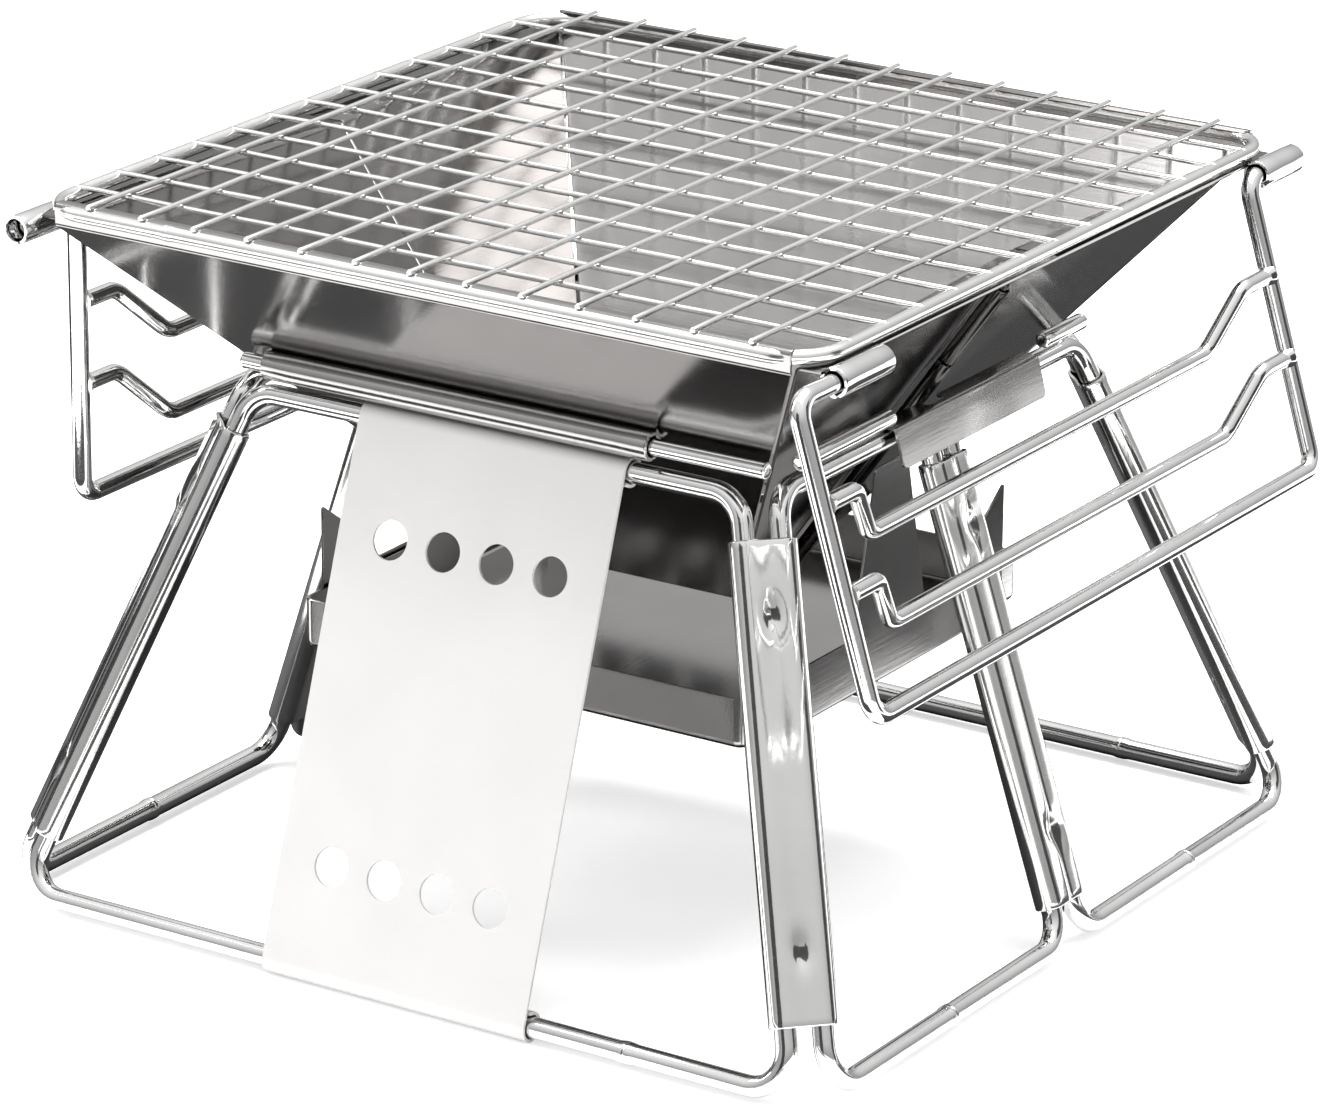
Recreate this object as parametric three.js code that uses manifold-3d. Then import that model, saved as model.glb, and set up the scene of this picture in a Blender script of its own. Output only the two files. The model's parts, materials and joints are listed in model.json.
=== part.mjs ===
// Folding camp grill: a bowl of sheet steel with a cooking net on top, carried by a folding
// stand of round wire. Millimetres, +Z up, +X to the right along the front, +Y to the back.
// The origin is on the ground, under the middle of the stand.
import * as THREE from "three";
import { mergeVertices } from "three/addons/utils/BufferGeometryUtils.js";
import Module from "manifold-3d";

const wasm = await Module();
wasm.setup();

// ---------- driving dimensions ----------
const GAP = 0.3; // air left between neighbouring pieces

// Stand: four sides that lean inwards, of round wire.
const STAND_WIRE = 5;
const BASE_HALF = 112; // ground corner to middle
const TOP_HALF = 72; // top corner to middle
const TOP_Z = 122; // centre of the top bars
const FOOT_Z = STAND_WIRE / 2; // centre of the bottom bars, before the stand is put on its sole
const CORNER_SHIFT = 6; // each leg stands this far from the sharp corner
const TOP_BEND = 9;
const FOOT_BEND = 8;

// Hinge sleeves: one folded sheet that holds two legs side by side.
const PIVOT_SPACING = CORNER_SHIFT * Math.SQRT2;
const SLEEVE_SHEET = 0.8;
const SLEEVE_LENGTH = 107;
const SLEEVE_TOP_SPACE = 10.3; // from the top bar's centre, along the leg
// The back left sleeve holds its half frame loosely: its slot reaches out from the leg and in.
const LOOSE_SLOT = { radius: 3.4, out: 1.4, in: 1 };

// Front plate: sheet curled round the top and bottom bars of the front frame.
const PLATE_WIDTH = 72;
const PLATE_CENTRE_X = 2;
const PLATE_SHEET = 0.8;
const PLATE_HOLE_RADIUS = 4.6;
const PLATE_HOLE_PITCH = 14.5;
const PLATE_HOLE_ROWS = [26.5, 102]; // from the top bar, down the slope
const CURL_ANGLE = (300 * Math.PI) / 180;

// Bowl: front and back walls at 45 degrees, folding gussets left and right.
const BOWL_SHEET = 0.8;
const RIM_Z = 164.5;
const BOWL_BOTTOM_Z = 72;
const WALL_PLANE = 61.7; // the front wall's outer face lies where z - |y| has this value
const RIM_HALF_X = 98.6;
const BOTTOM_HALF_X = 27;
const CREASE_RIM_X = 92.9; // middle crease of a gusset, at the rim
const CREASE_BOTTOM_X = 26.9;
const RIM_FLANGE = 5;
const RIM_LIP = 2.6;
const CREASE_PIN_RADIUS = 2;
const CREASE_PIN_OFFSET = 2.5;

// Rods that carry the bowl on the stand's top bars.
const REST_ROD_RADIUS = 2;
const REST_TUBE_RADIUS = 3.5;
const REST_TUBE_SPAN = [-61, 44];
const REST_ROD_SPAN = [-68, 74];
const REST_Y = 73.2; // a little outside the top bars, clear of the bowl's walls
const REST_Z = TOP_Z + STAND_WIRE / 2 + GAP + PLATE_SHEET + GAP + REST_TUBE_RADIUS;
const SIDE_ROD_X = 75.6;
const SIDE_ROD_Z = 128.6;
const SIDE_ROD_SPANS = { front: [-63, -24], back: [44, 63] };
const SADDLE_SPAN = [-22, 42];
const SADDLE_DROP = 9.5;

// Wings: wire racks hung on pins in tube sockets at the rim.
const WING_WIRE = 4.5;
const WING_BAR_WIRE = 4;
const SOCKET_RADIUS = 3.5;
const SOCKET_BORE = 2.55;
const WING_AXIS_X = 106;
const WING_AXIS_Z = 162.5;
const NEAR_SOCKET = [-99, -79]; // along the right rim, front end first
const FAR_SOCKET = [90, 108];
const WING_FRONT_ARM = -114;
const WING_BACK_ARM = 85.5;
const WING_DEPTH = 70;
const WING_BEND = 5;
const WING_BARS = { upper: 23, lower: 43 };
const WING_CRANK_DROP = 12;
const WING_CRANK_IN = 7;
const RIGHT_WING_LEAN = (17 * Math.PI) / 180;

// Cooking net: straight wires in two layers, welded to each other and to a thicker wire frame.
const NET_HALF = 103;
const NET_FRAME_WIRE = 3.4;
const NET_WIRE = 1.8;
const NET_CELLS = 14;
const NET_BEND = 12;
const NET_Z = RIM_Z + BOWL_SHEET + GAP + NET_FRAME_WIRE / 2;

// Charcoal grate inside the bowl.
const GRATE_Z = 92;
const GRATE_SHEET = 1.2;
const GRATE_HALF = { x: 38, y: 28.6 };
const GRATE_HOLE_RADIUS = 3.2;

// Ash tray and the two hangers that carry it below the bowl.
const TRAY_HALF = 61.2;
const TRAY_FLOOR_Z = 57;
const TRAY_HEIGHT = 12;
const TRAY_SHEET = 0.8;
const HANGER_SHEET = 0.6;
const HANGER_LIP = 5;

// ---------- materials ----------
const polishedSteel = { color: 0xd9d9d8, roughness: 0.16, metalness: 1 };
const brushedSteel = { color: 0xe8e5e3, roughness: 0.42, metalness: 0.7 };
const bowlSteel = { color: 0x8a8684, roughness: 0.26, metalness: 1 };
const traySteel = { color: 0xbdbab7, roughness: 0.3, metalness: 1 };

const grill = new THREE.Group();

function add(name, geometry, finish) {
  const mesh = new THREE.Mesh(geometry, new THREE.MeshStandardMaterial(finish));
  mesh.name = name;
  grill.add(mesh);
  return mesh;
}

// ---------- solids ----------
const vec = (x, y, z) => new THREE.Vector3(x, y, z);

function toSolid(geometry) {
  const bare = geometry.clone();
  bare.deleteAttribute("normal");
  bare.deleteAttribute("uv");
  const merged = mergeVertices(bare, 1e-4);
  const mesh = new wasm.Mesh({
    numProp: 3,
    vertProperties: merged.attributes.position.array,
    triVerts: new Uint32Array(merged.index.array),
  });
  return new wasm.Manifold(mesh);
}

function toGeometry(solid) {
  const mesh = solid.getMesh();
  const geometry = new THREE.BufferGeometry();
  geometry.setAttribute("position", new THREE.BufferAttribute(new Float32Array(mesh.vertProperties), 3));
  geometry.setIndex(new THREE.BufferAttribute(new Uint32Array(mesh.triVerts), 1));
  geometry.computeVertexNormals();
  return geometry;
}

function join(...geometries) {
  return toGeometry(geometries.map(toSolid).reduce((whole, piece) => whole.add(piece)));
}

function cut(geometry, tools) {
  return toGeometry(tools.map(toSolid).reduce((rest, tool) => rest.subtract(tool), toSolid(geometry)));
}

// A box between two opposite corners.
function boxBetween(low, high) {
  const box = new THREE.BoxGeometry(high[0] - low[0], high[1] - low[1], high[2] - low[2]);
  const middle = low.map((value, axis) => (value + high[axis]) / 2);
  return box.translate(...middle);
}

// A matrix whose local z runs from one point towards another, with local x near a given side.
function basisAlong(from, to, side) {
  const z = to.clone().sub(from).normalize();
  const y = z.clone().cross(side).normalize();
  const x = y.clone().cross(z);
  return new THREE.Matrix4().makeBasis(x, y, z).setPosition(from);
}

function circleShape(radius, sides, centre = 0) {
  const shape = new THREE.Shape();
  for (let i = 0; i < sides; i += 1) {
    const angle = ((i + 0.5) * 2 * Math.PI) / sides;
    const point = [centre + radius * Math.cos(angle), radius * Math.sin(angle)];
    if (i === 0) shape.moveTo(...point);
    else shape.lineTo(...point);
  }
  shape.closePath();
  return shape;
}

// A round rod between two points; a bore makes it a tube.
function rod(from, to, radius, sides = 10, bore = 0) {
  const shape = circleShape(radius, sides);
  if (bore > 0) shape.holes.push(circleShape(bore, sides));
  const depth = from.distanceTo(to);
  const along = to.clone().sub(from);
  const side = Math.abs(along.x) > Math.abs(along.y) ? vec(0, 1, 0) : vec(1, 0, 0);
  const geometry = new THREE.ExtrudeGeometry(shape, { depth, bevelEnabled: false });
  return geometry.applyMatrix4(basisAlong(from, to, side));
}

// A bent wire's centre line: straight legs with round bends, one station at each bend step.
class WirePath extends THREE.Curve {
  constructor(stations) {
    super();
    this.stations = stations;
  }

  getUtoTmapping(u) {
    return u;
  }

  getPoint(t) {
    const last = this.stations.length - 1;
    const index = Math.min(Math.floor(t * last + 1e-9), last - 1);
    return this.stations[index].clone().lerp(this.stations[index + 1], t * last - index);
  }

  getTangent(t) {
    const last = this.stations.length - 1;
    const index = Math.round(t * last);
    const here = this.stations[index];
    const tangent = new THREE.Vector3();
    if (index > 0) tangent.add(here.clone().sub(this.stations[index - 1]).normalize());
    if (index < last) tangent.add(this.stations[index + 1].clone().sub(here).normalize());
    return tangent.normalize();
  }
}

// Points along a round bend at a corner, from one leg to the next.
function bendStations(before, corner, after, radius, steps = 4) {
  const inward = before.clone().sub(corner).normalize();
  const outward = after.clone().sub(corner).normalize();
  const half = inward.angleTo(outward) / 2;
  const start = corner.clone().addScaledVector(inward, radius / Math.tan(half));
  const centre = corner
    .clone()
    .addScaledVector(inward.clone().add(outward).normalize(), radius / Math.sin(half));
  const turn = Math.PI - 2 * half;
  const axis = inward.clone().cross(outward).normalize().negate();
  const arm = start.clone().sub(centre);
  return Array.from({ length: steps + 1 }, (_, step) =>
    centre.clone().add(arm.clone().applyAxisAngle(axis, (turn * step) / steps)),
  );
}

function wireAlong(stations, radius, sides = 8) {
  return new THREE.ExtrudeGeometry(circleShape(radius, sides), {
    steps: stations.length - 1,
    extrudePath: new WirePath(stations),
    bevelEnabled: false,
  });
}

// An open bent wire through corner points, with one bend radius.
function bentWire(corners, radius, bend, sides = 8, steps = 4) {
  const stations = [corners[0]];
  for (let i = 1; i < corners.length - 1; i += 1) {
    stations.push(...bendStations(corners[i - 1], corners[i], corners[i + 1], bend, steps));
  }
  stations.push(corners[corners.length - 1]);
  return wireAlong(stations, radius, sides);
}

// A closed wire loop, butt welded where it starts, on the leg before the first corner.
function wireLoop(corners, bends, radius, weldShare = 0.5, sides = 8) {
  const count = corners.length;
  const seam = corners[count - 1].clone().lerp(corners[0], weldShare);
  const along = corners[0].clone().sub(corners[count - 1]).normalize();
  const stations = [seam.clone().addScaledVector(along, 0.3)];
  for (let i = 0; i < count; i += 1) {
    const before = corners[(i + count - 1) % count];
    stations.push(...bendStations(before, corners[i], corners[(i + 1) % count], bends[i]));
  }
  stations.push(seam.clone().addScaledVector(along, -0.3));
  const from = seam.clone().addScaledVector(along, -1.6);
  const to = seam.clone().addScaledVector(along, 1.6);
  return join(wireAlong(stations, radius, sides), rod(from, to, radius + 0.3, 10));
}

// A flat sheet panel through points that lie in one plane; its thickness grows along the normal.
function panel(points, thickness) {
  const origin = points[0];
  const u = points[1].clone().sub(origin).normalize();
  const normal = u.clone().cross(points[2].clone().sub(origin)).normalize();
  const v = normal.clone().cross(u);
  const shape = new THREE.Shape(
    points.map((point) => {
      const offset = point.clone().sub(origin);
      return new THREE.Vector2(offset.dot(u), offset.dot(v));
    }),
  );
  const sheet = new THREE.ExtrudeGeometry(shape, { depth: thickness, bevelEnabled: false });
  return sheet.applyMatrix4(new THREE.Matrix4().makeBasis(u, v, normal).setPosition(origin));
}

// ---------- stand ----------
const SIDES = { right: 1, left: -1 };
const ENDS = { front: -1, back: 1 };

function makeCrossFrame(end) {
  const topX = TOP_HALF - CORNER_SHIFT;
  const footX = BASE_HALF - CORNER_SHIFT;
  const corners = [
    vec(footX, end * BASE_HALF, FOOT_Z),
    vec(topX, end * TOP_HALF, TOP_Z),
    vec(-topX, end * TOP_HALF, TOP_Z),
    vec(-footX, end * BASE_HALF, FOOT_Z),
  ];
  return wireLoop(corners, [FOOT_BEND, TOP_BEND, TOP_BEND, FOOT_BEND], STAND_WIRE / 2, 0.8);
}

function makeHalfFrame(side, end) {
  const nearY = (end * PIVOT_SPACING) / 2;
  const corners = [
    vec(side * BASE_HALF, nearY, FOOT_Z),
    vec(side * TOP_HALF, nearY, TOP_Z),
    vec(side * TOP_HALF, end * (TOP_HALF - CORNER_SHIFT), TOP_Z),
    vec(side * BASE_HALF, end * (BASE_HALF - CORNER_SHIFT), FOOT_Z),
  ];
  return wireLoop(corners, [FOOT_BEND, TOP_BEND, TOP_BEND, FOOT_BEND], STAND_WIRE / 2);
}

// Adds the points of an arc to a list.
function pushArc(points, centre, radius, from, to, steps = 7) {
  for (let i = 0; i <= steps; i += 1) {
    const angle = from + ((to - from) * i) / steps;
    points.push(new THREE.Vector2(centre + radius * Math.cos(angle), radius * Math.sin(angle)));
  }
}

// A sleeve's section is two round lobes joined by flat sheet. It holds leg A at local -x and leg B
// at local +x; a slot lets leg A move.
function makeSleeve(top, foot, towardsB, slot = { radius: STAND_WIRE / 2 + GAP, out: 0, in: 0 }) {
  const bore = STAND_WIRE / 2 + GAP;
  const [lobeA, lobeB] = [slot.radius + SLEEVE_SHEET, bore + SLEEVE_SHEET];
  const [middleA, middleB] = [-PIVOT_SPACING / 2, PIVOT_SPACING / 2];
  const outermost = middleA - slot.out;
  const quarter = Math.PI / 2;
  const tilt = Math.asin((lobeB - lobeA) / (middleB - outermost));
  const outline = [];
  pushArc(outline, middleB, lobeB, -quarter - tilt, quarter + tilt);
  pushArc(outline, outermost, lobeA, quarter + tilt, 3 * quarter - tilt);
  const slotEdge = [];
  pushArc(slotEdge, middleA + slot.in, slot.radius, -quarter, quarter, 6);
  pushArc(slotEdge, outermost, slot.radius, quarter, 3 * quarter, 6);
  const shape = new THREE.Shape(outline);
  shape.holes.push(slot.out > 0 ? new THREE.Path(slotEdge) : circleShape(bore, 12, middleA));
  shape.holes.push(circleShape(bore, 12, middleB));
  const geometry = new THREE.ExtrudeGeometry(shape, { depth: SLEEVE_LENGTH, bevelEnabled: false });
  geometry.translate(0, 0, SLEEVE_TOP_SPACE);
  return geometry.applyMatrix4(basisAlong(top, foot, towardsB));
}

function addStand() {
  for (const [endName, end] of Object.entries(ENDS)) {
    add(`${endName}_frame`, makeCrossFrame(end), polishedSteel);
  }
  for (const [sideName, side] of Object.entries(SIDES)) {
    for (const [endName, end] of Object.entries(ENDS)) {
      add(`${sideName}_${endName}_half_frame`, makeHalfFrame(side, end), polishedSteel);
      const topEdge = TOP_HALF - CORNER_SHIFT / 2;
      const footEdge = BASE_HALF - CORNER_SHIFT / 2;
      const top = vec(side * topEdge, end * topEdge, TOP_Z);
      const foot = vec(side * footEdge, end * footEdge, FOOT_Z);
      // Lobe A holds the half frame's leg, lobe B the leg of the front or back frame.
      const towardsCrossFrame = vec(-side, end, 0);
      const isLoose = sideName === "left" && endName === "back";
      const sleeve = makeSleeve(top, foot, towardsCrossFrame, isLoose ? LOOSE_SLOT : undefined);
      add(`${endName}_${sideName}_sleeve`, sleeve, polishedSteel);
    }
    const middle = makeSleeve(
      vec(side * TOP_HALF, 0, TOP_Z),
      vec(side * BASE_HALF, 0, FOOT_Z),
      vec(0, 1, 0),
    );
    add(`${sideName}_middle_sleeve`, middle, polishedSteel);
  }
}

// ---------- front plate ----------
function addFrontPlate() {
  const slope = Math.hypot(BASE_HALF - TOP_HALF, TOP_Z - FOOT_Z);
  const inner = STAND_WIRE / 2 + GAP;
  const outer = inner + PLATE_SHEET;
  const steps = 12;
  const outline = [];
  // Local x runs down the slope from the top bar, local y out of the plate.
  const arc = (centre, radius, fromAngle, toAngle) => {
    for (let i = 0; i <= steps; i += 1) {
      const angle = fromAngle + ((toAngle - fromAngle) * i) / steps;
      outline.push([centre + radius * Math.cos(angle), radius * Math.sin(angle)]);
    }
  };
  const flat = Math.PI / 2;
  arc(0, outer, flat, flat + CURL_ANGLE);
  arc(0, inner, flat + CURL_ANGLE, flat);
  arc(slope, inner, flat, flat - CURL_ANGLE);
  arc(slope, outer, flat - CURL_ANGLE, flat);
  const shape = new THREE.Shape(outline.map(([x, y]) => new THREE.Vector2(x, y)));
  const sheet = new THREE.ExtrudeGeometry(shape, { depth: PLATE_WIDTH, bevelEnabled: false });
  sheet.translate(0, 0, -PLATE_WIDTH / 2);
  const holes = [];
  for (const row of PLATE_HOLE_ROWS) {
    for (const place of [-1.5, -0.5, 0.5, 1.5]) {
      const z = place * PLATE_HOLE_PITCH;
      holes.push(rod(vec(row, 0, z), vec(row, 2 * outer, z), PLATE_HOLE_RADIUS, 16));
    }
  }
  const plate = cut(sheet, holes);
  const down = vec(0, TOP_HALF - BASE_HALF, FOOT_Z - TOP_Z).normalize();
  const across = vec(-1, 0, 0);
  const out = across.clone().cross(down);
  const place = new THREE.Matrix4()
    .makeBasis(down, out, across)
    .setPosition(vec(PLATE_CENTRE_X, -TOP_HALF, TOP_Z));
  add("front_plate", plate.applyMatrix4(place), brushedSteel);
}

// ---------- bowl ----------
const wallY = (z) => z - WALL_PLANE; // distance of the front or back wall's outer face from the middle
const rimShare = (z) => (z - BOWL_BOTTOM_Z) / (RIM_Z - BOWL_BOTTOM_Z);
const creaseX = (z) => CREASE_BOTTOM_X + rimShare(z) * (CREASE_RIM_X - CREASE_BOTTOM_X);
const cornerX = (z) => BOTTOM_HALF_X + rimShare(z) * (RIM_HALF_X - BOTTOM_HALF_X);

function makeBowlWall(end) {
  const slack = 0.6; // keeps the wall's cut edge clear of the gusset
  const rimX = RIM_HALF_X - slack;
  const bottomX = BOTTOM_HALF_X - slack;
  const rimY = wallY(RIM_Z);
  const bottomY = wallY(BOWL_BOTTOM_Z);
  const points = [
    vec(-end * rimX, end * rimY, RIM_Z + BOWL_SHEET / 2),
    vec(-end * bottomX, end * bottomY, BOWL_BOTTOM_Z),
    vec(end * bottomX, end * bottomY, BOWL_BOTTOM_Z),
    vec(end * rimX, end * rimY, RIM_Z + BOWL_SHEET / 2),
  ];
  points[0].y = end * wallY(points[0].z);
  points[3].y = points[0].y;
  const yOut = rimY + RIM_FLANGE;
  const inner = rimY - 0.4;
  const flangeY = end > 0 ? [inner, yOut] : [-yOut, -inner];
  const lipY = end > 0 ? [yOut - BOWL_SHEET, yOut] : [-yOut, -yOut + BOWL_SHEET];
  const top = RIM_Z + BOWL_SHEET;
  return join(
    panel(points, BOWL_SHEET),
    boxBetween([-rimX, flangeY[0], RIM_Z], [rimX, flangeY[1], top]),
    boxBetween([-rimX, lipY[0], top - RIM_LIP], [rimX, lipY[1], top]),
  );
}

// One half of a side gusset: the leaning panel, its rim flange and a wing socket rolled from it.
function makeGusset(side, end, socketSpan) {
  const seam = 0.5; // half the gap at the middle crease
  const slack = 0.5; // keeps the gusset clear of the wall
  const rimY = wallY(RIM_Z) - BOWL_SHEET * Math.SQRT2 - slack;
  const bottomY = wallY(BOWL_BOTTOM_Z) - BOWL_SHEET * Math.SQRT2 - slack;
  const leaning = [
    vec(side * creaseX(RIM_Z), end * seam, RIM_Z),
    vec(side * RIM_HALF_X, end * rimY, RIM_Z),
    vec(side * cornerX(BOWL_BOTTOM_Z), end * bottomY, BOWL_BOTTOM_Z),
  ];
  // The fourth corner lies in the plane of the other three.
  const normal = leaning[1].clone().sub(leaning[0]).cross(leaning[2].clone().sub(leaning[0]));
  const low = vec(0, end * seam, BOWL_BOTTOM_Z);
  const reach = leaning[0].clone().sub(low);
  low.x = reach.dot(normal) / normal.x;
  leaning.push(low);
  if (side * end < 0) leaning.reverse();
  const lip = WING_AXIS_X - 1; // the flange runs into the socket tubes
  const flange = [
    vec(side * (creaseX(RIM_Z) - 0.4), end * seam, RIM_Z),
    vec(side * lip, end * seam, RIM_Z),
    vec(side * lip, end * rimY, RIM_Z),
    vec(side * (RIM_HALF_X - 0.4), end * rimY, RIM_Z),
  ];
  if (side * end < 0) flange.reverse();
  const [from, to] = socketSpan;
  const axisX = side * WING_AXIS_X;
  const tube = rod(vec(axisX, from, WING_AXIS_Z), vec(axisX, to, WING_AXIS_Z), SOCKET_RADIUS, 14);
  const bore = rod(
    vec(axisX, from - 1, WING_AXIS_Z),
    vec(axisX, to + 1, WING_AXIS_Z),
    SOCKET_BORE,
    12,
  );
  return cut(join(panel(leaning, BOWL_SHEET), panel(flange, BOWL_SHEET), tube), [bore]);
}

// The pin that hinges two gusset halves lies along the outside of their crease.
function makeCreasePin(side) {
  const topZ = RIM_Z - 6;
  const footZ = BOWL_BOTTOM_Z + 4;
  const lean = Math.atan2(CREASE_RIM_X - CREASE_BOTTOM_X, RIM_Z - BOWL_BOTTOM_Z);
  const out = vec(side * Math.cos(lean), 0, -Math.sin(lean)).multiplyScalar(CREASE_PIN_OFFSET + GAP);
  const top = vec(side * creaseX(topZ), 0, topZ).add(out);
  const foot = vec(side * creaseX(footZ), 0, footZ).add(out);
  return rod(foot, top, CREASE_PIN_RADIUS, 10);
}

function makeSaddle(side) {
  const [from, to] = SADDLE_SPAN;
  const inner = TOP_HALF - 1.2;
  const outer = TOP_HALF + STAND_WIRE / 2 + 2 * GAP + BOWL_SHEET;
  const flare = SADDLE_DROP * 0.27; // the outer leg leans out like the stand
  const low = TOP_Z + STAND_WIRE / 2 + GAP;
  const outline = new THREE.Shape([
    new THREE.Vector2(inner, low),
    new THREE.Vector2(outer - BOWL_SHEET, low),
    new THREE.Vector2(outer - BOWL_SHEET + flare, low - SADDLE_DROP),
    new THREE.Vector2(outer + flare, low - SADDLE_DROP),
    new THREE.Vector2(outer, low + BOWL_SHEET),
    new THREE.Vector2(inner, low + BOWL_SHEET),
  ]);
  const sheet = new THREE.ExtrudeGeometry(outline, { depth: to - from, bevelEnabled: false });
  // The outline's y becomes z, and the extrusion runs towards -y from the far end.
  sheet.applyMatrix4(new THREE.Matrix4().makeBasis(vec(1, 0, 0), vec(0, 0, 1), vec(0, -1, 0)));
  sheet.translate(0, to, 0);
  // A notch leaves room for the crease pin.
  const notch = boxBetween([inner - 1, -4, low - 1], [inner + 2.8, 4, low + 2]);
  const saddle = cut(sheet, [notch]);
  return side < 0 ? saddle.rotateZ(Math.PI) : saddle;
}

function makeRestRod(end) {
  const [from, to] = REST_ROD_SPAN;
  const y = end * REST_Y;
  return rod(vec(-end * from, y, REST_Z), vec(-end * to, y, REST_Z), REST_ROD_RADIUS, 10);
}

function makeRestTube(end) {
  const [from, to] = REST_TUBE_SPAN;
  const y = end * REST_Y;
  const bore = REST_ROD_RADIUS + GAP;
  return rod(vec(-end * from, y, REST_Z), vec(-end * to, y, REST_Z), REST_TUBE_RADIUS, 14, bore);
}

function addBowl() {
  for (const [endName, end] of Object.entries(ENDS)) {
    add(`bowl_${endName}_wall`, makeBowlWall(end), bowlSteel);
    add(`${endName}_rest_rod`, makeRestRod(end), polishedSteel);
    add(`${endName}_rest_tube`, makeRestTube(end), bowlSteel);
  }
  for (const [sideName, side] of Object.entries(SIDES)) {
    for (const [endName, end] of Object.entries(ENDS)) {
      // The left rim is the right rim turned half round, so its sockets swap ends.
      const span = side * end < 0 ? NEAR_SOCKET : FAR_SOCKET;
      const socket = side > 0 ? span : [-span[1], -span[0]];
      add(`${sideName}_${endName}_gusset`, makeGusset(side, end, socket), bowlSteel);
      const [from, to] = SIDE_ROD_SPANS[side > 0 ? endName : endName === "front" ? "back" : "front"];
      const x = side * SIDE_ROD_X;
      const start = vec(x, side * from, SIDE_ROD_Z);
      const finish = vec(x, side * to, SIDE_ROD_Z);
      add(`${sideName}_${endName}_rest_rod`, rod(start, finish, REST_ROD_RADIUS, 10), polishedSteel);
    }
    add(`${sideName}_crease_pin`, makeCreasePin(side), polishedSteel);
    add(`${sideName}_saddle`, makeSaddle(side), traySteel);
  }
}

// ---------- charcoal grate ----------
function addGrate() {
  const { x, y } = GRATE_HALF;
  const sheet = boxBetween([-x, -y, GRATE_Z], [x, y, GRATE_Z + GRATE_SHEET]);
  const holes = [];
  for (let column = -2; column <= 2; column += 1) {
    for (let row = -1; row <= 1; row += 1) {
      const [hx, hy] = [(column * 2 * x) / 5.4, (row * 2 * y) / 3.4];
      holes.push(rod(vec(hx, hy, GRATE_Z - 1), vec(hx, hy, GRATE_Z + 3), GRATE_HOLE_RADIUS, 8));
    }
  }
  add("charcoal_grate", cut(sheet, holes), traySteel);
}

// ---------- ash tray ----------
function addTray() {
  const top = TRAY_FLOOR_Z + TRAY_HEIGHT;
  const inner = TRAY_HALF - TRAY_SHEET;
  const outside = boxBetween([-TRAY_HALF, -TRAY_HALF, TRAY_FLOOR_Z], [TRAY_HALF, TRAY_HALF, top]);
  const inside = boxBetween([-inner, -inner, TRAY_FLOOR_Z + TRAY_SHEET], [inner, inner, top + 1]);
  add("ash_tray", cut(outside, [inside]), traySteel);
}

// A hanger is a sheet beside the tray: a lip under it, two pointed ears and a tongue up to the bowl.
function makeHanger(side) {
  const inner = TRAY_HALF + GAP;
  const lowZ = TRAY_FLOOR_Z - GAP - HANGER_SHEET;
  const trayTop = TRAY_FLOOR_Z + TRAY_HEIGHT;
  const halfOutline = [
    [52, lowZ],
    [52, trayTop + 20],
    [41, trayTop + 12],
    [46, trayTop + 1],
    [16, trayTop + 1],
    [7, trayTop + 40],
  ];
  const other = halfOutline.map(([y, z]) => [-y, z]).reverse();
  const points = [...halfOutline, ...other].map(([y, z]) => vec(side * inner, side * y, z));
  const web = panel(points, HANGER_SHEET);
  const lipX = [side * (inner - HANGER_LIP), side * (inner + HANGER_SHEET)].sort((a, b) => a - b);
  return join(web, boxBetween([lipX[0], -52, lowZ], [lipX[1], 52, lowZ + HANGER_SHEET]));
}

function addHangers() {
  for (const [sideName, side] of Object.entries(SIDES)) {
    add(`${sideName}_tray_hanger`, makeHanger(side), traySteel);
  }
}

// ---------- wings ----------
// Points of a wing in its own frame: y along the rim, depth down from the axis, in towards the bowl.
function addWing(sideName, side, lean) {
  const at = (y, depth, inward = 0) => vec(-inward, y, -depth);
  const place = new THREE.Matrix4()
    .makeTranslation(side * WING_AXIS_X, 0, WING_AXIS_Z)
    .multiply(new THREE.Matrix4().makeRotationZ(side > 0 ? 0 : Math.PI))
    .multiply(new THREE.Matrix4().makeRotationY(-lean));
  const frame = bentWire(
    [
      at(NEAR_SOCKET[1] - 3, 0),
      at(WING_FRONT_ARM, 0),
      at(WING_FRONT_ARM, WING_DEPTH),
      at(WING_BACK_ARM, WING_DEPTH),
      at(WING_BACK_ARM, 0),
      at(FAR_SOCKET[1] - 4, 0),
    ],
    WING_WIRE / 2,
    WING_BEND / 1.4,
    8,
    4,
  );
  add(`${sideName}_wing_frame`, frame.applyMatrix4(place), polishedSteel);
  const clear = WING_WIRE / 2 + GAP;
  for (const [barName, depth] of Object.entries(WING_BARS)) {
    const low = depth + WING_CRANK_DROP;
    const first = WING_FRONT_ARM + clear;
    const last = WING_BACK_ARM - clear;
    const bar = bentWire(
      [
        at(first, depth),
        at(first + 11, depth),
        at(first + 22, low, WING_CRANK_IN),
        at(last - 22, low, WING_CRANK_IN),
        at(last - 11, depth),
        at(last, depth),
      ],
      WING_BAR_WIRE / 2,
      5,
      8,
      3,
    );
    add(`${sideName}_wing_${barName}_bar`, bar.applyMatrix4(place), polishedSteel);
  }
}

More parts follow.
